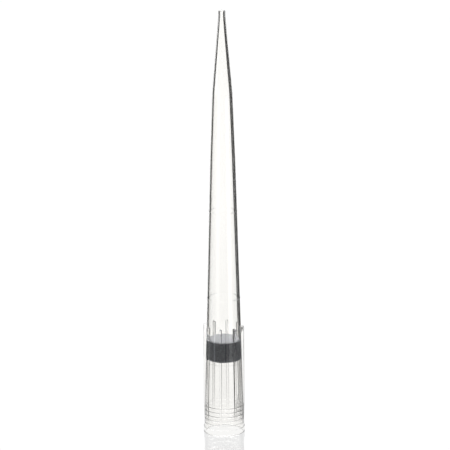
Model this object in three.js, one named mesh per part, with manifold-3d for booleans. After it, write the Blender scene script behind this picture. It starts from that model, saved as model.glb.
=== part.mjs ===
// Filter pipette tip for a handheld pipette, standing on its collar rim with the point up.
// Millimetres, +Z up, origin at the centre of the rim's resting face.
import * as THREE from "three";
import { mergeVertices } from "three/addons/utils/BufferGeometryUtils.js";
import Module from "manifold-3d";

// Driving dimensions of the body. Heights are measured up from the rim's resting face, and the
// two places where the cone changes its slope are measured down from the point.
const overallLength = 93.6;
const rimRadius = 4.475;
const rimHeight = 1.25;
const rimProud = 0.12;
const rimEdge = 0.15;
const middleBreakBelowPoint = 32.6;
const middleBreakRadius = 2.73;
const upperBreakBelowPoint = 17.9;
const upperBreakRadius = 2.18;
const pointLandLength = 1.3;
const pointLandRadius = 0.75;
const pointEdge = 0.06;

// Wall thickness of the cone at the collar, at its two breaks of slope and at the point.
const collarWall = 0.34;
const middleWall = 0.36;
const upperWall = 0.34;
const pointWall = 0.3;

// Mouth of the bore and the sealing rings that grip the pipette's nozzle.
const mouthChamfer = 0.2;
const sealRingCount = 5;
const firstSealRingHeight = 2.16;
const sealRingPitch = 0.95;
const sealRingDepth = 0.065;
const sealRingFoot = 0.36;
const sealRingCrest = 0.14;

// Porous filter pressed into the tapered bore, and the small step in the bore below it.
const filterBottom = 16.46;
const filterLength = 4.67;
const filterEdge = 0.12;
const filterGap = 0.04;
const socketRelief = 0.05;
const socketTopBelowFilter = 0.6;

// Outside fins of the collar. Each ends in a half-round top and runs out into the body below, where
// its foot ends under the surface. Its outer edge stays just inside the rim.
const finCount = 8;
const firstFinAngle = THREE.MathUtils.degToRad(34.5);
const finThickness = 0.45;
const finInset = 0.045;
const finTop = 24.1;
const finRunOutTop = 6.3;
const finRunOutBottom = 2.75;
const finFootDepth = 0.04;
const finTopSegments = 6;

// Raised graduation rings on the outside of the cone.
const graduationHeights = [30.3, 49.7];
const graduationProud = 0.05;
const graduationWidth = 0.22;

// Facets around every turned surface.
const turnSegments = 48;

// Heights and one radius worked out from the sizes above.
const middleBreakHeight = overallLength - middleBreakBelowPoint;
const upperBreakHeight = overallLength - upperBreakBelowPoint;
const pointLandBottom = overallLength - pointLandLength;
const socketTop = filterBottom - socketTopBelowFilter;
const finRadius = rimRadius - finInset;

// Outer radius and wall thickness at each place where the cone's slope changes.
const coneSections = [
  { height: rimHeight, radius: rimRadius - rimProud, wall: collarWall },
  { height: middleBreakHeight, radius: middleBreakRadius, wall: middleWall },
  { height: upperBreakHeight, radius: upperBreakRadius, wall: upperWall },
  { height: pointLandBottom, radius: pointLandRadius, wall: pointWall },
];

// The value of one property of the cone at a height, on the straight taper that holds it.
function coneValueAt(height, property) {
  const last = coneSections.length - 1;
  let upper = coneSections.findIndex((section) => section.height >= height);
  upper = upper < 0 ? last : Math.max(upper, 1);
  const a = coneSections[upper - 1];
  const b = coneSections[upper];
  const share = (height - a.height) / (b.height - a.height);
  return a[property] + (b[property] - a[property]) * share;
}

const outerRadiusAt = (height) => coneValueAt(height, "radius");
const boreRadiusAt = (height) => outerRadiusAt(height) - coneValueAt(height, "wall");
const socketRadiusAt = (height) => boreRadiusAt(height) + socketRelief;

// A solid of revolution about Z from a closed profile of (radius, height) points.
function turned(profile) {
  const geometry = new THREE.LatheGeometry(profile, turnSegments);
  geometry.rotateX(Math.PI / 2);
  return geometry;
}

// three.js geometry to a manifold solid: only positions are kept, and shared vertices merged.
const wasm = await Module();
wasm.setup();

function toSolid(geometry) {
  const bare = geometry.index ? geometry.toNonIndexed() : geometry.clone();
  bare.deleteAttribute("normal");
  bare.deleteAttribute("uv");
  const merged = mergeVertices(bare, 1e-5);
  const vertProperties = new Float32Array(merged.attributes.position.array);
  const triVerts = new Uint32Array(merged.index.array).filter(nonDegenerate(merged.index.array));
  return new wasm.Manifold(new wasm.Mesh({ numProp: 3, vertProperties, triVerts }));
}

// Keeps the corners of triangles that have three different vertices.
function nonDegenerate(index) {
  return (_, corner) => {
    const first = corner - (corner % 3);
    const [a, b, c] = [index[first], index[first + 1], index[first + 2]];
    return a !== b && b !== c && c !== a;
  };
}

function toGeometry(solid) {
  const mesh = solid.getMesh();
  const geometry = new THREE.BufferGeometry();
  geometry.setAttribute("position", new THREE.BufferAttribute(new Float32Array(mesh.vertProperties), 3));
  geometry.setIndex(new THREE.BufferAttribute(new Uint32Array(mesh.triVerts), 1));
  geometry.computeVertexNormals();
  return geometry;
}

// Outside of the body from the rim's foot to the point, upwards.
function outsideProfile() {
  const profile = [
    new THREE.Vector2(rimRadius - rimEdge, 0),
    new THREE.Vector2(rimRadius, rimEdge),
    new THREE.Vector2(rimRadius, rimHeight - rimEdge),
    new THREE.Vector2(outerRadiusAt(rimHeight), rimHeight),
  ];
  const knots = [
    new THREE.Vector2(middleBreakRadius, middleBreakHeight),
    new THREE.Vector2(upperBreakRadius, upperBreakHeight),
    new THREE.Vector2(pointLandRadius, pointLandBottom),
  ];
  const rings = graduationHeights.flatMap((height) => graduationRing(height));
  profile.push(...[...knots, ...rings].sort((a, b) => a.y - b.y));
  profile.push(new THREE.Vector2(pointLandRadius, overallLength - pointEdge));
  profile.push(new THREE.Vector2(pointLandRadius - pointEdge, overallLength));
  return profile;
}

// The low ridge of one graduation ring, standing on the taper at its height.
function graduationRing(height) {
  const low = height - graduationWidth / 2;
  const high = height + graduationWidth / 2;
  return [
    new THREE.Vector2(outerRadiusAt(low), low),
    new THREE.Vector2(outerRadiusAt(height) + graduationProud, height),
    new THREE.Vector2(outerRadiusAt(high), high),
  ];
}

// Inside of the body from the point's orifice down to the mouth of the collar.
function insideProfile() {
  const orificeRadius = pointLandRadius - pointWall;
  const profile = [
    new THREE.Vector2(orificeRadius, overallLength),
    new THREE.Vector2(orificeRadius, pointLandBottom),
    new THREE.Vector2(upperBreakRadius - upperWall, upperBreakHeight),
    new THREE.Vector2(middleBreakRadius - middleWall, middleBreakHeight),
    new THREE.Vector2(boreRadiusAt(socketTop), socketTop),
    new THREE.Vector2(socketRadiusAt(socketTop), socketTop),
  ];
  for (let ring = sealRingCount - 1; ring >= 0; ring -= 1) {
    profile.push(...sealRing(firstSealRingHeight + ring * sealRingPitch));
  }
  profile.push(new THREE.Vector2(socketRadiusAt(mouthChamfer), mouthChamfer));
  profile.push(new THREE.Vector2(socketRadiusAt(0) + mouthChamfer / 2, 0));
  return profile;
}

// One sealing ring inside the socket, from its upper foot to its lower foot.
function sealRing(height) {
  const crestRadius = socketRadiusAt(height) - sealRingDepth;
  const high = height + sealRingFoot / 2;
  const low = height - sealRingFoot / 2;
  return [
    new THREE.Vector2(socketRadiusAt(high), high),
    new THREE.Vector2(crestRadius, height + sealRingCrest / 2),
    new THREE.Vector2(crestRadius, height - sealRingCrest / 2),
    new THREE.Vector2(socketRadiusAt(low), low),
  ];
}

// Moulded cone, collar and rim, without the fins.
function turnedBody() {
  const profile = [...outsideProfile(), ...insideProfile()];
  profile.push(profile[0].clone());
  return toSolid(turned(profile));
}

// One fin along +X: its side outline and its round-topped front outline, cut against each other.
function fin() {
  const root = (height) => outerRadiusAt(height) - collarWall / 2;
  const runOutSlope = (finRadius - outerRadiusAt(finRunOutBottom)) / (finRunOutTop - finRunOutBottom);
  const footHeight = finRunOutBottom - finFootDepth / runOutSlope;
  const side = new THREE.Shape([
    new THREE.Vector2(root(footHeight), footHeight),
    new THREE.Vector2(finRadius - (finRunOutTop - footHeight) * runOutSlope, footHeight),
    new THREE.Vector2(finRadius, finRunOutTop),
    new THREE.Vector2(finRadius, finTop),
    new THREE.Vector2(root(finTop), finTop),
  ]);
  const sideBlock = new THREE.ExtrudeGeometry(side, { depth: finThickness, bevelEnabled: false });
  sideBlock.rotateX(Math.PI / 2);
  sideBlock.translate(0, finThickness / 2, 0);

  const half = finThickness / 2;
  const front = new THREE.Shape();
  front.moveTo(-half, 0);
  front.lineTo(half, 0);
  front.lineTo(half, finTop - half);
  front.absarc(0, finTop - half, half, 0, Math.PI, false);
  front.lineTo(-half, 0);
  const frontBlock = new THREE.ExtrudeGeometry(front, {
    depth: rimRadius * 2,
    bevelEnabled: false,
    curveSegments: finTopSegments,
  });
  const tangent = new THREE.Vector3(0, 1, 0);
  const up = new THREE.Vector3(0, 0, 1);
  const radial = new THREE.Vector3(1, 0, 0);
  frontBlock.applyMatrix4(new THREE.Matrix4().makeBasis(tangent, up, radial));
  return toSolid(sideBlock).intersect(toSolid(frontBlock));
}

// The whole moulded body: the turned shape with its ring of fins.
function tipBody() {
  let body = turnedBody();
  const oneFin = fin();
  for (let index = 0; index < finCount; index += 1) {
    const angle = firstFinAngle + (index * 2 * Math.PI) / finCount;
    body = body.add(oneFin.rotate([0, 0, THREE.MathUtils.radToDeg(angle)]));
  }
  const material = new THREE.MeshStandardMaterial({
    color: 0xf0f2ef,
    roughness: 0.1,
    metalness: 0,
    transparent: true,
    opacity: 0.3,
  });
  const mesh = new THREE.Mesh(toGeometry(body), material);
  mesh.name = "tip_body";
  return mesh;
}

// The filter, in its own frame: a plug with broken edges whose side follows the bore's taper.
function filterPlug() {
  const radiusAt = (height) => boreRadiusAt(filterBottom + height) - filterGap;
  const profile = [
    new THREE.Vector2(0, 0),
    new THREE.Vector2(radiusAt(0) - filterEdge, 0),
    new THREE.Vector2(radiusAt(filterEdge), filterEdge),
    new THREE.Vector2(radiusAt(filterLength - filterEdge), filterLength - filterEdge),
    new THREE.Vector2(radiusAt(filterLength) - filterEdge, filterLength),
    new THREE.Vector2(0, filterLength),
  ];
  const material = new THREE.MeshStandardMaterial({
    color: 0x55575b,
    roughness: 0.95,
    metalness: 0,
  });
  const mesh = new THREE.Mesh(toGeometry(toSolid(turned(profile))), material);
  mesh.name = "filter_plug";
  mesh.position.z = filterBottom;
  return mesh;
}

const pipetteTip = new THREE.Group();
pipetteTip.add(tipBody());
pipetteTip.add(filterPlug());

export default pipetteTip;
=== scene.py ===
"""Filter pipette tip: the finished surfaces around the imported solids, and the studio they stand in.

Sizes of the object are held in millimetres and turned into the frame's metres when a mesh is
finished. Sizes of the studio are held in metres.
"""
import logging
import math
from dataclasses import dataclass, field
from enum import Enum

import bmesh
import bpy
from mathutils import Matrix, Vector, noise


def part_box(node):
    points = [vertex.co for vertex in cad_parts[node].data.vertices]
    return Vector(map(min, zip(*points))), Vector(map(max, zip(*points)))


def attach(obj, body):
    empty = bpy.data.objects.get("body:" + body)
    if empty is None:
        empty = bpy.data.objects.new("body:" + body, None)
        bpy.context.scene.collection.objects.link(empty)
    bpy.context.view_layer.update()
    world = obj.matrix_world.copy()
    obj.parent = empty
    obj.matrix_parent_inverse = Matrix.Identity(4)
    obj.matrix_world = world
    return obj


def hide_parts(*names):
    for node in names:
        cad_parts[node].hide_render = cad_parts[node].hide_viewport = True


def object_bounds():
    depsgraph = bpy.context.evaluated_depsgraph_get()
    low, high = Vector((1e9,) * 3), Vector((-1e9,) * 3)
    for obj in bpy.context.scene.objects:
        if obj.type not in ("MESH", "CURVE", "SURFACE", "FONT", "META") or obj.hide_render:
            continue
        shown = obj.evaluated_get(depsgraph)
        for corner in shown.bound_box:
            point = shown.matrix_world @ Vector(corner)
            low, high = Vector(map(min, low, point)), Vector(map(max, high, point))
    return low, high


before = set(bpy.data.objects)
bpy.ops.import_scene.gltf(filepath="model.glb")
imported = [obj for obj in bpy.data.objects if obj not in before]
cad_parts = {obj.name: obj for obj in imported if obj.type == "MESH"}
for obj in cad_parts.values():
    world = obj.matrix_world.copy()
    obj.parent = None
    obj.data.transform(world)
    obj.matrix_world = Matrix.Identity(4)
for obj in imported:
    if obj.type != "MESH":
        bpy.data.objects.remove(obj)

Shape = bmesh.types.BMesh
SceneObject = bpy.types.Object
Material = bpy.types.Material
Tree = bpy.types.NodeTree
Socket = bpy.types.NodeSocket

CAD_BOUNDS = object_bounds()
MM = 0.001
ROOT_BODY = "root"
LOG = logging.getLogger("pipette_tip")

# In millimetres: points that are nearer to each other than the first of these are one point, and
# points that are nearer to a plane than the second lie on it.
SAME_POINT = 1e-4
ON_PLANE = 1e-6

# In degrees: a full turn, and the bearing, clockwise from +Y, where a radial gradient starts.
FULL_TURN = 360.0
GRADIENT_START = 270.0


class Slot(Enum):
    """Material slots of the record."""

    CLEAR_BODY = "clear_body"
    FILTER = "filter"


class Node(Enum):
    """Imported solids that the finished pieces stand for."""

    BODY = "tip_body"
    FILTER = "filter_plug"


def box_in_millimetres(node: Node) -> tuple[Vector, Vector]:
    """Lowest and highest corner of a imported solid, in millimetres."""
    low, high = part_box(node.value)
    return low / MM, high / MM


# ---- outlines ----


@dataclass(frozen=True)
class Corner:
    """One corner of a turned outline: its radius from the axis, its height and its rounding."""

    radius: float
    height: float
    rounding: float = 0.0

    def point(self) -> Vector:
        """The corner as a point in the plane of the outline."""
        return Vector((self.radius, self.height))


@dataclass(frozen=True)
class Outline:
    """A turned outline whose corners are rounded by arcs.

    A point is kept close to both ends of each arc, so that a smooth surface doesn't bend the light
    of the long straight stretch beside it. An arc takes no more than its share of the room that
    it has beside its corner.
    """

    corners: list[Corner]
    closed: bool
    arc_steps: int = 4
    hold: float = 0.05
    arc_share: float = 0.9

    def points(self) -> list[Vector]:
        """Works out the outline's points.

        Returns:
            Points in the plane of the outline, in order.
        """
        found: list[Vector] = []
        count = len(self.corners)
        for index, corner in enumerate(self.corners):
            is_end = not self.closed and index in (0, count - 1)
            if corner.rounding <= 0 or is_end:
                found.append(corner.point())
                continue
            before = self.corners[index - 1].point()
            after = self.corners[(index + 1) % count].point()
            found.extend(self.rounded(before, corner, after))
        return found

    def rounded(self, before: Vector, corner: Corner, after: Vector) -> list[Vector]:
        """Rounds one corner with an arc and its two holding points.

        Args:
            before: the outline's corner before this one.
            corner: the corner to round.
            after: the outline's corner after this one.

        Returns:
            The points that take the corner's place.
        """
        middle = corner.point()
        back, ahead = before - middle, after - middle
        room = min(back.length, ahead.length) / 2
        to_back, to_ahead = back.normalized(), ahead.normalized()
        half_angle = to_back.angle(to_ahead) / 2
        reach = min(corner.rounding / math.tan(half_angle), room * self.arc_share)
        radius = reach * math.tan(half_angle)
        centre = middle + (to_back + to_ahead).normalized() * (radius / math.sin(half_angle))
        first = middle + to_back * reach - centre
        last = middle + to_ahead * reach - centre
        turn = first.angle_signed(last)
        steps = range(self.arc_steps + 1)
        arc = [centre + turned(first, turn * step / self.arc_steps) for step in steps]
        hold = min(self.hold, room - reach)
        start = middle + to_back * (reach + hold)
        end = middle + to_ahead * (reach + hold)
        return [start, *arc, end]


def turned(vector: Vector, angle: float) -> Vector:
    """Turns a vector of the outline's plane clockwise by an angle in radians."""
    cosine, sine = math.cos(-angle), math.sin(-angle)
    return Vector((vector.x * cosine - vector.y * sine, vector.x * sine + vector.y * cosine))


def refined(points: list[Vector], longest: float) -> list[Vector]:
    """Adds points to an outline so that no stretch is longer than a given length.

    Args:
        points: the outline's points.
        longest: the longest stretch.

    Returns:
        The points with the added ones between them.
    """
    found = [points[0]]
    for start, end in zip(points, points[1:]):
        count = max(1, math.ceil((end - start).length / longest))
        found.extend(start.lerp(end, step / count) for step in range(1, count + 1))
    return found


# ---- meshes ----


def spun(outline: Outline, steps: int) -> Shape:
    """Turns an outline about the Z axis into a closed surface with its faces outwards.

    Args:
        outline: the outline to turn.
        steps: facets around the axis.

    Returns:
        The surface, in the outline's own units.
    """
    work = bmesh.new()
    verts = [work.verts.new((point.x, 0.0, point.y)) for point in outline.points()]
    edges = [work.edges.new(pair) for pair in zip(verts, verts[1:])]
    if outline.closed:
        edges.append(work.edges.new((verts[-1], verts[0])))
    bmesh.ops.spin(
        work,
        geom=[*verts, *edges],
        cent=(0.0, 0.0, 0.0),
        axis=(0.0, 0.0, 1.0),
        angle=math.tau,
        steps=steps,
        use_merge=True,
    )
    bmesh.ops.remove_doubles(work, verts=work.verts[:], dist=SAME_POINT)
    bmesh.ops.recalc_face_normals(work, faces=work.faces[:])
    return work


def object_from(work: Shape, name: str) -> SceneObject:
    """Makes a scene object of a finished bmesh and frees the bmesh.

    Args:
        work: the shape.
        name: the object's name.

    Returns:
        The object, linked to the scene.
    """
    mesh = bpy.data.meshes.new(name)
    work.to_mesh(mesh)
    work.free()
    piece = bpy.data.objects.new(name, mesh)
    bpy.context.scene.collection.objects.link(piece)
    return piece


def united(piece: SceneObject, added: SceneObject) -> None:
    """Joins a second closed shape into a piece as one closed shape, and removes the second.

    Args:
        piece: the piece that grows.
        added: the shape that is joined in.
    """
    union = piece.modifiers.new("union", "BOOLEAN")
    union.operation = "UNION"
    union.solver = "EXACT"
    union.object = added
    graph = bpy.context.evaluated_depsgraph_get()
    joined = bpy.data.meshes.new_from_object(piece.evaluated_get(graph))
    piece.modifiers.remove(union)
    old = piece.data
    piece.data = joined
    bpy.data.meshes.remove(old)
    bpy.data.objects.remove(added)


def finish_mesh(piece: SceneObject, crease_angle: float) -> None:
    """Brings a piece from millimetres to metres, and shades it smooth up to a crease angle.

    Args:
        piece: the piece.
        crease_angle: edges that turn more than this stay sharp, in radians.
    """
    work = bmesh.new()
    work.from_mesh(piece.data)
    bmesh.ops.scale(work, vec=(MM, MM, MM), verts=work.verts[:])
    for face in work.faces:
        face.smooth = True
    work.to_mesh(piece.data)
    work.free()
    piece.data.set_sharp_from_angle(angle=crease_angle)


def dressed(piece: SceneObject, node: Node, material: Material) -> None:
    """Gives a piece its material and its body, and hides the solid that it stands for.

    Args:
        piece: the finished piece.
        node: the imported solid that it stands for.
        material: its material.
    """
    piece.data.materials.clear()
    piece.data.materials.append(material)
    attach(piece, ROOT_BODY)
    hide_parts(node.value)


# ---- shader nodes ----


@dataclass(frozen=True)
class Stop:
    """One step of a grey ramp: where it lies, and how bright it is there."""

    place: float
    strength: float


@dataclass(frozen=True)
class Span:
    """A stretch of values, from its start to its end."""

    start: float
    end: float


class RampKind(Enum):
    """How a ramp goes from stop to stop."""

    STEPS = "CONSTANT"
    STRAIGHT = "LINEAR"


class Sum(Enum):
    """Sums that a math node works out."""

    SIZE = "ABSOLUTE"
    PRODUCT = "MULTIPLY"
    QUOTIENT = "DIVIDE"
    LARGER = "MAXIMUM"
    IS_ABOVE = "GREATER_THAN"


class Coordinates(Enum):
    """Coordinates that a pattern follows: the points of a surface, or the world's directions."""

    POINT = "Object"
    DIRECTION = "Generated"


class Blend(Enum):
    """What a mix node blends, as its kind of data and its kind of blend."""

    NUMBERS = ("FLOAT", "MIX")
    COLOURS = ("RGBA", "MIX")
    SHADES = ("RGBA", "MULTIPLY")


def grey_ramp(tree: Tree, value: Socket, stops: list[Stop], kind: RampKind) -> Socket:
    """Adds a ramp of grey values.

    Args:
        tree: the node tree to add to.
        value: the value that runs along the ramp.
        stops: the ramp's stops, with places from 0 to 1.
        kind: how the ramp goes from stop to stop.

    Returns:
        The ramp's colour socket.
    """
    node = tree.nodes.new("ShaderNodeValToRGB")
    node.color_ramp.interpolation = kind.value
    elements = node.color_ramp.elements
    elements.remove(elements[1])
    ordered = sorted(stops, key=lambda stop: stop.place)
    elements[0].position = ordered[0].place
    for stop in ordered[1:]:
        elements.new(stop.place)
    for element, stop in zip(elements, ordered):
        element.color = (stop.strength, stop.strength, stop.strength, 1.0)
    tree.links.new(value, node.inputs["Fac"])
    return node.outputs["Color"]


def stretched(tree: Tree, value: Socket, source: Span, target: Span = Span(0.0, 1.0)) -> Socket:
    """Stretches one span of values onto another, and holds the values past its ends.

    Args:
        tree: the node tree to add to.
        value: the value to stretch.
        source: the span that it comes in.
        target: the span that it goes out in.

    Returns:
        The socket of the stretched value.
    """
    node = tree.nodes.new("ShaderNodeMapRange")
    node.inputs["From Min"].default_value = source.start
    node.inputs["From Max"].default_value = source.end
    node.inputs["To Min"].default_value = target.start
    node.inputs["To Max"].default_value = target.end
    tree.links.new(value, node.inputs["Value"])
    return node.outputs["Result"]


def worked_out(
    tree: Tree, kind: Sum, first: Socket, second: Socket | float | None = None
) -> Socket:
    """Works out a sum.

    Args:
        tree: the node tree to add to.
        kind: the kind of sum.
        first: its first value.
        second: its second value, a socket or a number, where it has one.

    Returns:
        The socket of the result.
    """
    node = tree.nodes.new("ShaderNodeMath")
    node.operation = kind.value
    tree.links.new(first, node.inputs[0])
    if isinstance(second, Socket):
        tree.links.new(second, node.inputs[1])
    elif second is not None:
        node.inputs[1].default_value = second
    return node.outputs["Value"]


def blended(tree: Tree, kind: Blend, share: Socket | float, under: Socket, over: Socket) -> Socket:
    """Blends two values or colours.

    Args:
        tree: the node tree to add to.
        kind: what is blended, and how.
        share: how much of the second one shows, a socket or a number.
        under: the first value or colour.
        over: the second value or colour.

    Returns:
        The socket of the blend.
    """
    node = tree.nodes.new("ShaderNodeMix")
    node.data_type, node.blend_type = kind.value
    if isinstance(share, Socket):
        tree.links.new(share, node.inputs["Factor"])
    else:
        node.inputs["Factor"].default_value = share
    tree.links.new(under, node.inputs["A"])
    tree.links.new(over, node.inputs["B"])
    return node.outputs["Result"]


def height_of(tree: Tree, vector: Socket) -> Socket:
    """Takes the Z part of a vector.

    Args:
        tree: the node tree to add to.
        vector: the vector.

    Returns:
        The socket of its Z part.
    """
    split = tree.nodes.new("ShaderNodeSeparateXYZ")
    tree.links.new(vector, split.inputs["Vector"])
    return split.outputs["Z"]


def coordinates(tree: Tree, kind: Coordinates) -> Socket:
    """Adds the socket of one kind of coordinates."""
    return tree.nodes.new("ShaderNodeTexCoord").outputs[kind.value]


# ---- finishes ----


def new_material(name: str) -> tuple[Material, bpy.types.Node]:
    """Makes a material with a Principled shader.

    Args:
        name: the material's name.

    Returns:
        The material and its shader node.
    """
    material = bpy.data.materials.new(name)
    material.use_nodes = True
    return material, material.node_tree.nodes["Principled BSDF"]


@dataclass(frozen=True)
class ClearPolypropylene:
    """Clear moulded plastic: smooth, with a faint haze that drifts along the moulding's flow."""

    name: str = "clear_polypropylene"
    tint: tuple[float, float, float] = (0.985, 0.98, 0.965)
    refraction: float = 1.49
    haze: Span = Span(0.0, 0.03)
    swirls_per_metre: tuple[float, float, float] = (900.0, 900.0, 60.0)

    def make(self) -> Material:
        """Builds the material.

        Returns:
            The material.
        """
        material, shader = new_material(self.name)
        tree = material.node_tree
        shader.inputs["Base Color"].default_value = (*self.tint, 1.0)
        shader.inputs["IOR"].default_value = self.refraction
        shader.inputs["Transmission Weight"].default_value = 1.0
        along_flow = tree.nodes.new("ShaderNodeMapping")
        along_flow.inputs["Scale"].default_value = self.swirls_per_metre
        flow = tree.nodes.new("ShaderNodeTexNoise")
        flow.inputs["Scale"].default_value = 1.0
        tree.links.new(coordinates(tree, Coordinates.POINT), along_flow.inputs["Vector"])
        tree.links.new(along_flow.outputs["Vector"], flow.inputs["Vector"])
        roughness = stretched(tree, flow.outputs["Fac"], Span(0.0, 1.0), self.haze)
        tree.links.new(roughness, shader.inputs["Roughness"])
        return material


@dataclass(frozen=True)
class FinCastLine:
    """A straight line that a fin casts on the plug, painted in: its place across X, its width and its
    shade.
    """

    across: float
    width: float
    shade: float


@dataclass(frozen=True)
class GrainColours:
    """Colours of the grains and the pores between them, and how much of the painted fin lines shows.
    """

    grain: tuple[float, float, float]
    pore: tuple[float, float, float]
    fin_light_and_shade: float


@dataclass(frozen=True)
class SinteredPolyethylene:
    """Grey porous plastic of fused grains, with painted light on its ends and painted shade on its
    side.
    """

    name: str = "sintered_polyethylene"
    # Painted light and shade: the side's grains are painted dark as shade, and the ends' grains pale
    # as light from above.
    shaded_side: GrainColours = GrainColours((0.130, 0.134, 0.141), (0.090, 0.095, 0.102), fin_light_and_shade=1.0)
    lit_ends: GrainColours = GrainColours((0.56, 0.57, 0.60), (0.38, 0.39, 0.42), fin_light_and_shade=0.4)
    lit_end_facing: Span = Span(0.0, 0.8)
    grain_edge: Span = Span(0.25, 0.8)
    grains_per_metre: float = 4200.0
    # Painted shadows and a painted light line that the collar's fins cast on the plug: a shade under
    # 1 is painted shadow, and a shade over 1 is painted light.
    fin_cast_lines: tuple[FinCastLine, ...] = (
        FinCastLine(-2.02, 0.22, 1.75),
        FinCastLine(0.36, 0.22, 0.45),
        FinCastLine(0.98, 0.20, 0.75),
    )
    cast_line_span: float = 5.0
    roughness: float = 0.9
    specular: float = 0.2
    bump_distance: float = 0.03 * MM

    def make(self) -> Material:
        """Builds the material.

        Returns:
            The material.
        """
        material, shader = new_material(self.name)
        tree = material.node_tree
        shader.inputs["Roughness"].default_value = self.roughness
        shader.inputs["Specular IOR Level"].default_value = self.specular
        point = coordinates(tree, Coordinates.POINT)
        cells = tree.nodes.new("ShaderNodeTexVoronoi")
        cells.inputs["Scale"].default_value = self.grains_per_metre
        tree.links.new(point, cells.inputs["Vector"])
        distance = cells.outputs["Distance"]
        # The painted fin shadows and light lines, laid over both the side and the ends.
        fin_light_and_shade = self.fin_light_and_shade(tree, point)
        shaded_side = self.coloured(tree, self.shaded_side, distance, fin_light_and_shade)
        lit_ends = self.coloured(tree, self.lit_ends, distance, fin_light_and_shade)
        # Painted light and shade: the pale ends blend into the dark side by how far the surface faces
        # up or down.
        colour = blended(tree, Blend.COLOURS, self.share_of_lit_ends(tree), shaded_side, lit_ends)
        tree.links.new(colour, shader.inputs["Base Color"])
        tree.links.new(self.bumps(tree, distance), shader.inputs["Normal"])
        return material

    def share_of_lit_ends(self, tree: Tree) -> Socket:
        """Tells the plug's ends, painted lit, from its side, painted shaded, by how far the surface
        faces up or down.

        Args:
            tree: the node tree to add to.

        Returns:
            The socket that is 0 on the painted-shaded side and 1 on the painted-lit ends.
        """
        geometry = tree.nodes.new("ShaderNodeNewGeometry")
        rise = height_of(tree, geometry.outputs["Normal"])
        return stretched(tree, worked_out(tree, Sum.SIZE, rise), self.lit_end_facing)

    def bumps(self, tree: Tree, distance: Socket) -> Socket:
        """Raises the grains a little over their pores.

        Args:
            tree: the node tree to add to.
            distance: the distance from the middle of a grain.

        Returns:
            The socket of the bumped normal.
        """
        bump = tree.nodes.new("ShaderNodeBump")
        bump.invert = True
        bump.inputs["Distance"].default_value = self.bump_distance
        tree.links.new(distance, bump.inputs["Height"])
        return bump.outputs["Normal"]

    def fin_light_and_shade(self, tree: Tree, point: Socket) -> Socket:
        """Paints the shadows and light lines that the fins cast as greys that shade the colour under
        them.

        Args:
            tree: the node tree to add to.
            point: the point of the surface.

        Returns:
            The socket of the greys.
        """
        split = tree.nodes.new("ShaderNodeSeparateXYZ")
        tree.links.new(point, split.inputs["Vector"])
        reach = self.cast_line_span * MM
        along = stretched(tree, split.outputs["X"], Span(-reach, reach))
        stops = [Stop(0.0, 1.0)]
        for cast_line in self.fin_cast_lines:
            start = self.place_along(cast_line.across - cast_line.width / 2)
            end = self.place_along(cast_line.across + cast_line.width / 2)
            stops += [Stop(start, cast_line.shade), Stop(end, 1.0)]
        return grey_ramp(tree, along, stops, RampKind.STEPS)

    def place_along(self, across: float) -> float:
        """A distance across X as its place along the ramp of the painted fin lines."""
        return (across + self.cast_line_span) / (2 * self.cast_line_span)

    def coloured(
        self, tree: Tree, colours: GrainColours, distance: Socket, fin_light_and_shade: Socket
    ) -> Socket:
        """Colours the grains and the pores between them, and lays the painted fin lines over them.

        Args:
            tree: the node tree to add to.
            colours: the colours of the grains and the pores.
            distance: the distance from the middle of a grain.
            fin_light_and_shade: the painted fin shadows and light lines.

        Returns:
            The socket of the colour.
        """
        node = tree.nodes.new("ShaderNodeValToRGB")
        grain, pore = node.color_ramp.elements
        grain.position, pore.position = self.grain_edge.start, self.grain_edge.end
        grain.color = (*colours.grain, 1.0)
        pore.color = (*colours.pore, 1.0)
        tree.links.new(distance, node.inputs["Fac"])
        return blended(tree, Blend.SHADES, colours.fin_light_and_shade, node.outputs["Color"], fin_light_and_shade)


# ---- pieces ----


@dataclass(frozen=True)
class ConeSection:
    """The cone where it changes its slope: height, outer radius and wall."""

    height: float
    radius: float
    wall: float


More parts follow.
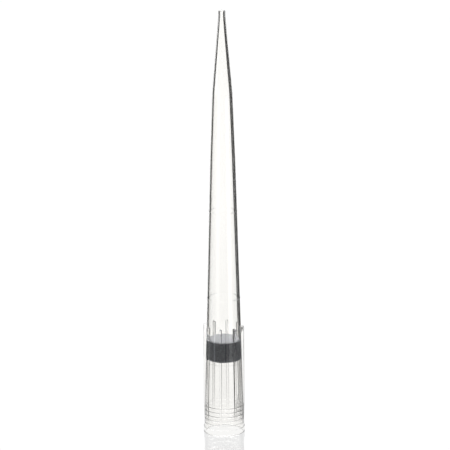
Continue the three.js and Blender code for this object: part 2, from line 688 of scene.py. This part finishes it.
@dataclass
class Body:
    """The clear moulded body in one piece: cone, point, collar, fins, sealing rings and rim."""

    name: str = "moulded_body"
    finish: ClearPolypropylene = ClearPolypropylene()
    steps: int = 256
    crease_angle: float = math.radians(32)

    rim_height: float = 1.25
    rim_proud: float = 0.12
    rim_edge: float = 0.15
    rim_top_edge: float = 0.09
    rim_shelf_rounding: float = 0.04
    middle_break_below_point: float = 32.6
    middle_break_radius: float = 2.73
    upper_break_below_point: float = 17.9
    upper_break_radius: float = 2.18
    break_rounding: float = 60.0
    point_land_length: float = 1.3
    point_land_radius: float = 0.75
    point_land_rounding: float = 2.0
    point_edge: float = 0.06
    orifice_edge: float = 0.04
    orifice_rounding: float = 1.0

    collar_wall: float = 0.34
    middle_wall: float = 0.36
    upper_wall: float = 0.34
    point_wall: float = 0.30

    mouth_chamfer: float = 0.2
    mouth_edge: float = 0.05
    mouth_rounding: float = 0.1
    seal_ring_count: int = 5
    first_seal_ring: float = 2.16
    seal_ring_pitch: float = 0.95
    seal_ring_depth: float = 0.065
    seal_ring_foot: float = 0.36
    seal_ring_foot_rounding: float = 0.08
    seal_ring_crest: float = 0.14
    seal_ring_crest_rounding: float = 0.06
    socket_relief: float = 0.05
    socket_top_below_filter: float = 0.6
    socket_step_rounding: float = 0.02

    fin_count: int = 8
    first_fin_angle: float = math.radians(34.5)
    fin_thickness: float = 0.45
    fin_inset: float = 0.045
    fin_top: float = 24.1
    fin_top_steps: int = 12
    fin_run_out_top: float = 6.3
    fin_run_out_bottom: float = 2.75
    fin_foot_depth: float = 0.04
    fin_edge: float = 0.06
    fin_edge_segments: int = 3

    graduation_heights: tuple[float, ...] = (30.3, 49.7)
    graduation_proud: float = 0.05
    graduation_width: float = 0.22
    graduation_foot_rounding: float = 0.05
    graduation_crest_rounding: float = 0.08

    length: float = field(init=False)
    rim_radius: float = field(init=False)
    filter_bottom: float = field(init=False)

    def __post_init__(self) -> None:
        """Takes the overall sizes and the filter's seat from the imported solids."""
        _, high = box_in_millimetres(Node.BODY)
        self.length = high.z
        self.rim_radius = high.x
        self.filter_bottom = box_in_millimetres(Node.FILTER)[0].z

    def sections(self) -> list[ConeSection]:
        """Lists the places where the cone changes its slope.

        Returns:
            The sections, upwards.
        """
        middle_break = self.length - self.middle_break_below_point
        upper_break = self.length - self.upper_break_below_point
        land = self.length - self.point_land_length
        return [
            ConeSection(self.rim_height, self.rim_radius - self.rim_proud, self.collar_wall),
            ConeSection(middle_break, self.middle_break_radius, self.middle_wall),
            ConeSection(upper_break, self.upper_break_radius, self.upper_wall),
            ConeSection(land, self.point_land_radius, self.point_wall),
        ]

    def section_at(self, height: float) -> ConeSection:
        """Works out the cone at a height, on the straight taper that holds it.

        Args:
            height: the height above the rim's resting face.

        Returns:
            The section at that height.
        """
        sections = self.sections()
        pairs = list(zip(sections, sections[1:]))
        low, high = next((pair for pair in pairs if height <= pair[1].height), pairs[-1])
        share = (height - low.height) / (high.height - low.height)
        radius = low.radius + (high.radius - low.radius) * share
        wall = low.wall + (high.wall - low.wall) * share
        return ConeSection(height, radius, wall)

    def outer(self, height: float) -> float:
        """Outer radius of the cone at a height."""
        return self.section_at(height).radius

    def bore(self, height: float) -> float:
        """Radius of the bore at a height."""
        section = self.section_at(height)
        return section.radius - section.wall

    def socket(self, height: float) -> float:
        """Radius of the nozzle's socket at a height."""
        return self.bore(height) + self.socket_relief

    def outside(self) -> list[Corner]:
        """Lists the corners of the outside.

        Returns:
            The corners, from the rim's foot to the point.
        """
        foot, *breaks, land = self.sections()
        slopes = [Corner(place.radius, place.height, self.break_rounding) for place in breaks]
        rings = [corner for height in self.graduation_heights for corner in self.graduation(height)]
        return [
            Corner(self.rim_radius, 0.0, self.rim_edge),
            Corner(self.rim_radius, self.rim_height, self.rim_top_edge),
            Corner(foot.radius, foot.height, self.rim_shelf_rounding),
            *sorted([*slopes, *rings], key=lambda corner: corner.height),
            Corner(land.radius, land.height, self.point_land_rounding),
            Corner(land.radius, self.length, self.point_edge),
        ]

    def graduation(self, height: float) -> list[Corner]:
        """Lists the corners of one low graduation ridge.

        Args:
            height: the height of its crest.

        Returns:
            Three corners, upwards.
        """
        low, high = height - self.graduation_width / 2, height + self.graduation_width / 2
        crest = self.outer(height) + self.graduation_proud
        return [
            Corner(self.outer(low), low, self.graduation_foot_rounding),
            Corner(crest, height, self.graduation_crest_rounding),
            Corner(self.outer(high), high, self.graduation_foot_rounding),
        ]

    def inside(self) -> list[Corner]:
        """Lists the corners of the inside.

        Returns:
            The corners, from the point's orifice down to the mouth.
        """
        _, *breaks, land = self.sections()
        orifice = land.radius - land.wall
        step = self.filter_bottom - self.socket_top_below_filter
        slopes = [
            Corner(place.radius - place.wall, place.height, self.break_rounding)
            for place in reversed(breaks)
        ]
        rings = [
            corner
            for ring in reversed(range(self.seal_ring_count))
            for corner in self.seal_ring(self.first_seal_ring + ring * self.seal_ring_pitch)
        ]
        return [
            Corner(orifice, self.length, self.orifice_edge),
            Corner(orifice, land.height, self.orifice_rounding),
            *slopes,
            Corner(self.bore(step), step, self.socket_step_rounding),
            Corner(self.socket(step), step, self.socket_step_rounding),
            *rings,
            Corner(self.socket(0.0), self.mouth_chamfer, self.mouth_rounding),
            Corner(self.socket(0.0) + self.mouth_chamfer / 2, 0.0, self.mouth_edge),
        ]

    def seal_ring(self, height: float) -> list[Corner]:
        """Lists the corners of one sealing ring inside the socket.

        Args:
            height: the height of its middle.

        Returns:
            Four corners, downwards.
        """
        high, low = height + self.seal_ring_foot / 2, height - self.seal_ring_foot / 2
        crest = self.socket(height) - self.seal_ring_depth
        half_crest = self.seal_ring_crest / 2
        return [
            Corner(self.socket(high), high, self.seal_ring_foot_rounding),
            Corner(crest, height + half_crest, self.seal_ring_crest_rounding),
            Corner(crest, height - half_crest, self.seal_ring_crest_rounding),
            Corner(self.socket(low), low, self.seal_ring_foot_rounding),
        ]

    def fin_reach(self) -> float:
        """Distance of a fin's outer edge from the axis."""
        return self.rim_radius - self.fin_inset

    def fins(self) -> Shape:
        """Builds all the fins of the collar, rooted inside the wall.

        Returns:
            Closed shapes, one for each fin, in millimetres.
        """
        work = self.fin_blank()
        self.cut_fin(work)
        self.round_fin(work)
        self.turn_fin(work, work.verts[:], self.first_fin_angle)
        source = [*work.verts, *work.edges, *work.faces]
        for index in range(1, self.fin_count):
            copied = bmesh.ops.duplicate(work, geom=source)
            verts = [item for item in copied["geom"] if isinstance(item, bmesh.types.BMVert)]
            self.turn_fin(work, verts, math.tau / self.fin_count * index)
        return work

    @staticmethod
    def turn_fin(work: Shape, verts: list[bmesh.types.BMVert], angle: float) -> None:
        """Turns a fin, given as its vertices, about the axis by an angle in radians."""
        turn = Matrix.Rotation(angle, 3, "Z")
        bmesh.ops.rotate(work, verts=verts, cent=(0.0, 0.0, 0.0), matrix=turn)

    def fin_blank(self) -> Shape:
        """Builds a bar along +X with the fin's round-topped front, before it is cut to the cone.

        Returns:
            The bar, in millimetres.
        """
        half = self.fin_thickness / 2
        inner = self.bore(self.fin_top)
        work = bmesh.new()
        arc = [math.pi * step / self.fin_top_steps for step in range(self.fin_top_steps + 1)]
        top = [(inner, half * math.cos(a), self.fin_top - half + half * math.sin(a)) for a in arc]
        foot = [(inner, -half, 0.0), (inner, half, 0.0)]
        face = work.faces.new([work.verts.new(point) for point in [*top, *foot]])
        pushed = bmesh.ops.extrude_face_region(work, geom=[face])
        verts = [item for item in pushed["geom"] if isinstance(item, bmesh.types.BMVert)]
        bmesh.ops.translate(work, vec=(self.fin_reach() - inner, 0.0, 0.0), verts=verts)
        bmesh.ops.recalc_face_normals(work, faces=work.faces[:])
        return work

    def cut_fin(self, work: Shape) -> None:
        """Cuts the fin's root to the middle of the wall, and its lower end to its run-out.

        Args:
            work: the bar, which is changed.
        """
        outwards, upwards = Vector((1.0, 0.0, 0.0)), Vector((0.0, 0.0, 1.0))
        low, high = self.fin_run_out_bottom, self.fin_run_out_top
        root_low = Vector((self.outer(low) - self.collar_wall / 2, 0.0, low))
        root_high = Vector((self.outer(self.fin_top) - self.collar_wall / 2, 0.0, self.fin_top))
        self.cut(work, root_low, root_high, keep=outwards)
        ramp_low = Vector((self.outer(low), 0.0, low))
        ramp_high = Vector((self.fin_reach(), 0.0, high))
        self.cut(work, ramp_low, ramp_high, keep=upwards)
        slope = (ramp_high.x - ramp_low.x) / (high - low)
        foot = Vector((0.0, 0.0, low - self.fin_foot_depth / slope))
        self.cut(work, foot, foot + outwards, keep=upwards)

    @staticmethod
    def cut(work: Shape, start: Vector, end: Vector, keep: Vector) -> None:
        """Cuts a shape by a plane that holds the Y direction, and closes the cut.

        Args:
            work: the shape, which is changed.
            start: a point of the plane.
            end: a second point of the plane.
            keep: a direction that points to the side that is kept.
        """
        normal = (end - start).cross(Vector((0.0, 1.0, 0.0))).normalized()
        if normal.dot(keep) > 0:
            normal.negate()
        made = bmesh.ops.bisect_plane(
            work,
            geom=[*work.verts, *work.edges, *work.faces],
            dist=ON_PLANE,
            plane_co=start,
            plane_no=normal,
            clear_outer=True,
        )
        rim = [item for item in made["geom_cut"] if isinstance(item, bmesh.types.BMEdge)]
        bmesh.ops.contextual_create(work, geom=rim)
        bmesh.ops.recalc_face_normals(work, faces=work.faces[:])

    def round_fin(self, work: Shape) -> None:
        """Rounds the outer edges of the fin.

        Args:
            work: the fin, which is changed.
        """
        outer = [
            line for line in work.edges
            if all(abs(vert.co.x - self.fin_reach()) < SAME_POINT for vert in line.verts)
        ]
        bmesh.ops.bevel(
            work,
            geom=outer,
            offset=self.fin_edge,
            affect="EDGES",
            segments=self.fin_edge_segments,
            profile=0.5,
            material=-1,
            clamp_overlap=True,
        )

    def build(self) -> SceneObject:
        """Builds the body's mesh.

        Returns:
            The body as a scene object.
        """
        outline = Outline([*self.outside(), *self.inside()], closed=True)
        piece = object_from(spun(outline, self.steps), self.name)
        united(piece, object_from(self.fins(), "fins"))
        finish_mesh(piece, self.crease_angle)
        return piece

    def dress(self, piece: SceneObject) -> None:
        """Dresses the body in its clear plastic."""
        dressed(piece, Node.BODY, self.finish.make())


@dataclass
class FilterPlug:
    """The porous filter: a short plug of fused grains, pressed into the bore.

    Its side is squeezed a little way into the wall. Its grains stand out by a coarse pattern and a
    fine one, whose size and height are given as shares of the coarse one's.
    """

    body: Body
    name: str = "sintered_filter"
    finish: SinteredPolyethylene = SinteredPolyethylene()
    steps: int = 256
    row: float = 0.07
    edge: float = 0.40
    edge_steps: int = 5
    edge_hold: float = 0.02
    squeeze: float = 0.08
    grain: float = 0.28
    grain_height: float = 0.03
    fine_grain_share: float = 0.45
    fine_height_share: float = 0.5

    def outline(self) -> Outline:
        """Draws the plug's outline.

        Returns:
            An open outline from the bottom's centre to the top's centre.
        """
        low, high = box_in_millimetres(Node.FILTER)
        foot = self.body.bore(low.z) + self.squeeze
        head = self.body.bore(high.z) + self.squeeze
        corners = [
            Corner(0.0, low.z),
            Corner(foot, low.z, self.edge),
            Corner(head, high.z, self.edge),
            Corner(0.0, high.z),
        ]
        return Outline(corners, closed=False, arc_steps=self.edge_steps, hold=self.edge_hold)

    def build(self) -> SceneObject:
        """Builds the plug's mesh with its grains.

        Returns:
            The plug as a scene object.
        """
        points = refined(self.outline().points(), self.row)
        corners = [Corner(point.x, point.y) for point in points]
        work = spun(Outline(corners, closed=False), self.steps)
        work.normal_update()
        for vert in work.verts:
            vert.co += vert.normal * self.grain_at(vert.co)
        piece = object_from(work, self.name)
        finish_mesh(piece, crease_angle=math.pi)
        return piece

    def grain_at(self, point: Vector) -> float:
        """Works out the height of the grains at a point of the surface.

        Args:
            point: the point, in millimetres.

        Returns:
            How far the surface stands out there, in millimetres.
        """
        coarse = noise.noise(point / self.grain)
        fine = noise.noise(point / (self.grain * self.fine_grain_share))
        return self.grain_height * (coarse + self.fine_height_share * fine)

    def dress(self, piece: SceneObject) -> None:
        """Dresses the plug in its sintered plastic."""
        dressed(piece, Node.FILTER, self.finish.make())


# ---- studio ----


def staged(work: Shape, name: str, height: float, material: Material) -> SceneObject:
    """Stages a surface of the studio.

    Args:
        work: the surface, around the origin.
        name: its name.
        height: how far it is raised.
        material: its material.

    Returns:
        The staged surface.
    """
    bmesh.ops.translate(work, vec=(0.0, 0.0, height), verts=work.verts[:])
    surface = object_from(work, name)
    surface.data.materials.append(material)
    return surface


def bare_material(name: str) -> tuple[Material, Socket]:
    """Makes a material that holds nothing but its output.

    Args:
        name: the material's name.

    Returns:
        The material and the output's socket for the surface.
    """
    material = bpy.data.materials.new(name)
    material.use_nodes = True
    nodes = material.node_tree.nodes
    nodes.clear()
    return material, nodes.new("ShaderNodeOutputMaterial").inputs["Surface"]


def white_light(tree: Tree, strength: Socket | float) -> Socket:
    """Adds a shader of white light.

    Args:
        tree: the node tree to add to.
        strength: the light's strength, a socket or a number.

    Returns:
        The shader's socket.
    """
    glow = tree.nodes.new("ShaderNodeEmission")
    if isinstance(strength, Socket):
        tree.links.new(strength, glow.inputs["Strength"])
    else:
        glow.inputs["Strength"].default_value = strength
    return glow.outputs["Emission"]


def turn_share(bearing: float) -> float:
    """A bearing as the share of a turn that a radial gradient gives."""
    return ((GRADIENT_START - bearing) / FULL_TURN) % 1.0


def by_bearing(tree: Tree, direction: Socket, sectors: tuple[Stop, ...]) -> Socket:
    """Gives the share of white light at each bearing.

    Args:
        tree: the node tree to add to.
        direction: the point or direction whose bearing counts.
        sectors: the bearings where the share changes, in order round the horizon.

    Returns:
        The socket that gives the share.
    """
    bearing = tree.nodes.new("ShaderNodeTexGradient")
    bearing.gradient_type = "RADIAL"
    tree.links.new(direction, bearing.inputs["Vector"])
    spans = zip(sectors, [*sectors[1:], sectors[0]])
    stops = [Stop(turn_share(end.place), start.strength) for start, end in spans]
    stops.append(Stop(0.0, max(stops, key=lambda stop: stop.place).strength))
    return grey_ramp(tree, bearing.outputs["Fac"], stops, RampKind.STEPS)


@dataclass
class Floor:
    """The pale floor that the camera sees, with a faint gloss that mirrors the tip."""

    name: str = "floor"
    half_width: float = 4.0
    cells: int = 2
    gap: float = 0.02 * MM
    glow: float = 0.72
    gloss: float = 0.15
    roughness: float = 0.05

    def build(self) -> None:
        """Builds the floor just under the rim. Only the camera sees it, and light passes it."""
        work = bmesh.new()
        bmesh.ops.create_grid(
            work, x_segments=self.cells, y_segments=self.cells, size=self.half_width
        )
        floor = staged(work, self.name, CAD_BOUNDS[0].z - self.gap, self.finish())
        floor.visible_transmission = False
        floor.visible_glossy = False
        floor.visible_diffuse = False
        floor.visible_shadow = False

    def finish(self) -> Material:
        """Builds the floor's material: an even glow under a faint gloss.

        Returns:
            The material.
        """
        material, surface = bare_material("pale_floor")
        tree = material.node_tree
        both = tree.nodes.new("ShaderNodeAddShader")
        gloss = tree.nodes.new("ShaderNodeBsdfGlossy")
        gloss.inputs["Color"].default_value = (self.gloss, self.gloss, self.gloss, 1.0)
        gloss.inputs["Roughness"].default_value = self.roughness
        tree.links.new(white_light(tree, self.glow), both.inputs[0])
        tree.links.new(gloss.outputs["BSDF"], both.inputs[1])
        tree.links.new(both.outputs["Shader"], surface)
        return material


@dataclass(frozen=True)
class Band:
    """Sectors of the surround below a given height over the horizon, in degrees."""

    highest: float
    sectors: tuple[Stop, ...]


@dataclass
class Surround:
    """White and dark sectors round the horizon, and a bright sky overhead.

    Bearings are in degrees, clockwise from straight behind the tip as the camera sees it, and
    heights are in degrees over the horizon. A few narrow sectors are white, one of them behind the
    tip, and the dark between them draws the edges of the clear plastic. The sky brightens to its
    zenith's strength over a span of the direction's Z part.
    """

    name: str = "surround"
    zenith: float = 4.5
    zenith_rise: Span = Span(0.35, 0.8)
    bands: tuple[Band, ...] = (
        Band(-20.0, (Stop(-20.0, 1.0), Stop(12.0, 0.02), Stop(295.0, 1.0), Stop(327.0, 0.02))),
        Band(-8.0, (Stop(-20.0, 1.0), Stop(12.0, 0.05), Stop(115.0, 1.0), Stop(147.0, 0.05))),
        Band(90.0, (Stop(-20.0, 1.0), Stop(12.0, 0.02), Stop(250.0, 1.0), Stop(282.0, 0.02))),
    )
    heights: tuple[Stop, ...] = (
        Stop(-30.0, 1.15),
        Stop(-18.0, 1.10),
        Stop(-16.2, 1.12),
        Stop(-14.5, 1.20),
        Stop(2.0, 1.20),
        Stop(2.5, 0.80),
    )

    def build(self) -> None:
        """Builds the surround as the scene's world."""
        world = bpy.data.worlds.new(self.name)
        bpy.context.scene.world = world
        world.use_nodes = True
        tree = world.node_tree
        background = tree.nodes["Background"]
        background.inputs["Color"].default_value = (1.0, 1.0, 1.0, 1.0)
        direction = coordinates(tree, Coordinates.DIRECTION)
        rise = height_of(tree, direction)
        white = self.by_band(tree, direction, rise)
        round_horizon = worked_out(tree, Sum.PRODUCT, white, self.by_height(tree, rise))
        overhead = stretched(tree, rise, self.zenith_rise, Span(0.0, self.zenith))
        strength = worked_out(tree, Sum.LARGER, round_horizon, overhead)
        tree.links.new(strength, background.inputs["Strength"])

    def by_band(self, tree: Tree, direction: Socket, rise: Socket) -> Socket:
        """Gives the share of white light in each direction, from the band that it lies in.

        Args:
            tree: the node tree to add to.
            direction: the direction.
            rise: its Z part.

        Returns:
            The socket that gives the share.
        """
        share = by_bearing(tree, direction, self.bands[0].sectors)
        for below, band in zip(self.bands, self.bands[1:]):
            limit = math.sin(math.radians(below.highest))
            above = worked_out(tree, Sum.IS_ABOVE, rise, limit)
            sectors = by_bearing(tree, direction, band.sectors)
            share = blended(tree, Blend.NUMBERS, above, share, sectors)
        return share

    def by_height(self, tree: Tree, rise: Socket) -> Socket:
        """Gives the strength of the white light at each height over the horizon.

        Args:
            tree: the node tree to add to.
            rise: the Z part of the direction, from -1 straight down to 1 straight up.

        Returns:
            The socket that gives the strength.
        """
        share = stretched(tree, rise, Span(-1.0, 1.0))
        stops = [
            Stop((1.0 + math.sin(math.radians(stop.place))) / 2, stop.strength)
            for stop in self.heights
        ]
        return grey_ramp(tree, share, stops, RampKind.STRAIGHT)


@dataclass
class ReflectedWall:
    """A round white wall that only the floor's reflection sees."""

    name: str = "reflected_wall"
    radius: float = 6.0
    height: float = 4.0
    segments: int = 64
    glow: float = 2.0

    def build(self) -> None:
        """Builds the wall, standing on the ground."""
        work = bmesh.new()
        bmesh.ops.create_cone(
            work,
            cap_ends=False,
            segments=self.segments,
            radius1=self.radius,
            radius2=self.radius,
            depth=self.height,
        )
        wall = staged(work, self.name, self.height / 2, self.finish())
        wall.visible_camera = False
        wall.visible_diffuse = False
        wall.visible_transmission = False
        wall.visible_shadow = False

    def finish(self) -> Material:
        """Builds the wall's material, an even white glow.

        Returns:
            The material.
        """
        material, surface = bare_material("white_wall")
        tree = material.node_tree
        tree.links.new(white_light(tree, self.glow), surface)
        return material


@dataclass
class LitField:
    """The ground as light meets it that the tip has bent or reflected: white and dark sectors.

    Bearings are as the surround's. The strengths of the two kinds of sector change with the
    distance from the axis, and both are darker just round the rim.
    """

    name: str = "lit_field"
    reach: float = 0.06
    segments: int = 96
    gap: float = 0.1 * MM
    sectors: tuple[Stop, ...] = (
        Stop(-20.0, 1.0),
        Stop(12.0, 0.02),
        Stop(115.0, 1.0),
        Stop(147.0, 0.02),
        Stop(311.0, 1.0),
        Stop(319.0, 0.02),
    )
    # Painted contact shadow: both kinds of sector are a little dimmer inside the rim and darkest in a
    # ring just round it.
    rim_contact_shadow: tuple[Stop, ...] = (
        Stop(0.0, 0.95),
        Stop(0.0041, 0.95),
        Stop(0.0043, 0.50),
        Stop(0.0046, 0.50),
        Stop(0.0048, 0.95),
    )
    white: tuple[Stop, ...] = (
        Stop(0.030, 1.0),
        Stop(0.060, 1.06),
    )
    dark: tuple[Stop, ...] = (
        Stop(0.0080, 0.95),
        Stop(0.014, 0.55),
        Stop(0.040, 0.35),
        Stop(0.060, 0.20),
    )

    def build(self) -> None:
        """Builds the field just under the floor, where the camera doesn't see it."""
        work = bmesh.new()
        bmesh.ops.create_circle(work, cap_ends=True, segments=self.segments, radius=self.reach)
        ground = staged(work, self.name, CAD_BOUNDS[0].z - self.gap, self.finish())
        ground.visible_camera = False
        ground.visible_shadow = False

    def finish(self) -> Material:
        """Builds the field's material.

        Returns:
            The material.
        """
        material, surface = bare_material("lit_field")
        tree = material.node_tree
        point = coordinates(tree, Coordinates.POINT)
        length = tree.nodes.new("ShaderNodeVectorMath")
        length.operation = "LENGTH"
        tree.links.new(point, length.inputs[0])
        out = worked_out(tree, Sum.QUOTIENT, length.outputs["Value"], self.reach)
        white = self.by_distance(tree, out, self.white)
        dark = self.by_distance(tree, out, self.dark)
        sector = by_bearing(tree, point, self.sectors)
        strength = blended(tree, Blend.NUMBERS, sector, dark, white)
        tree.links.new(white_light(tree, strength), surface)
        return material

    def by_distance(self, tree: Tree, out: Socket, beyond_rim: tuple[Stop, ...]) -> Socket:
        """Gives the strength of one kind of sector at each distance from the axis.

        Args:
            tree: the node tree to add to.
            out: the distance, as a share of the field's reach.
            beyond_rim: the strengths beyond the rim, with distances in metres.

        Returns:
            The socket that gives the strength.
        """
        stops = [
            Stop(stop.place / self.reach, stop.strength) for stop in (*self.rim_contact_shadow, *beyond_rim)
        ]
        return grey_ramp(tree, out, stops, RampKind.STRAIGHT)


@dataclass
class TipCamera:
    """The camera in front of the tip, above it and looking a little down.

    Its lens and its sensor are in millimetres, as Blender takes them.
    """

    name: str = "camera"
    distance: float = 0.700
    height: float = 0.2333
    pitch: float = math.radians(14.94)
    yaw: float = math.radians(-0.0335)
    roll: float = math.radians(-0.345)
    lens: float = 268.9
    sensor: float = 36.0
    clip: Span = Span(0.01, 20.0)

    def build(self) -> None:
        """Builds the camera and makes it the scene's."""
        data = bpy.data.cameras.new(self.name)
        data.lens = self.lens
        data.sensor_width = self.sensor
        data.clip_start, data.clip_end = self.clip.start, self.clip.end
        camera = bpy.data.objects.new(self.name, data)
        bpy.context.scene.collection.objects.link(camera)
        stand = Matrix.Translation((0.0, -self.distance, self.height))
        turn = Matrix.Rotation(self.yaw, 4, "Z") @ Matrix.Rotation(math.pi / 2 - self.pitch, 4, "X")
        camera.matrix_world = stand @ turn @ Matrix.Rotation(self.roll, 4, "Z")
        bpy.context.scene.camera = camera


def main() -> None:
    """Builds the tip piece by piece, then the studio."""
    logging.basicConfig(level=logging.INFO, format="%(name)s %(message)s")
    bpy.context.scene.view_settings.view_transform = "Standard"
    body = Body()
    for assembly in (body, FilterPlug(body)):
        piece = assembly.build()
        assembly.dress(piece)
        LOG.info("%s: %d faces", piece.name, len(piece.data.polygons))
    for fitting in (Floor(), Surround(), ReflectedWall(), LitField(), TipCamera()):
        fitting.build()
        LOG.info("studio: %s", fitting.name)


if __name__ == "__main__":
    main()
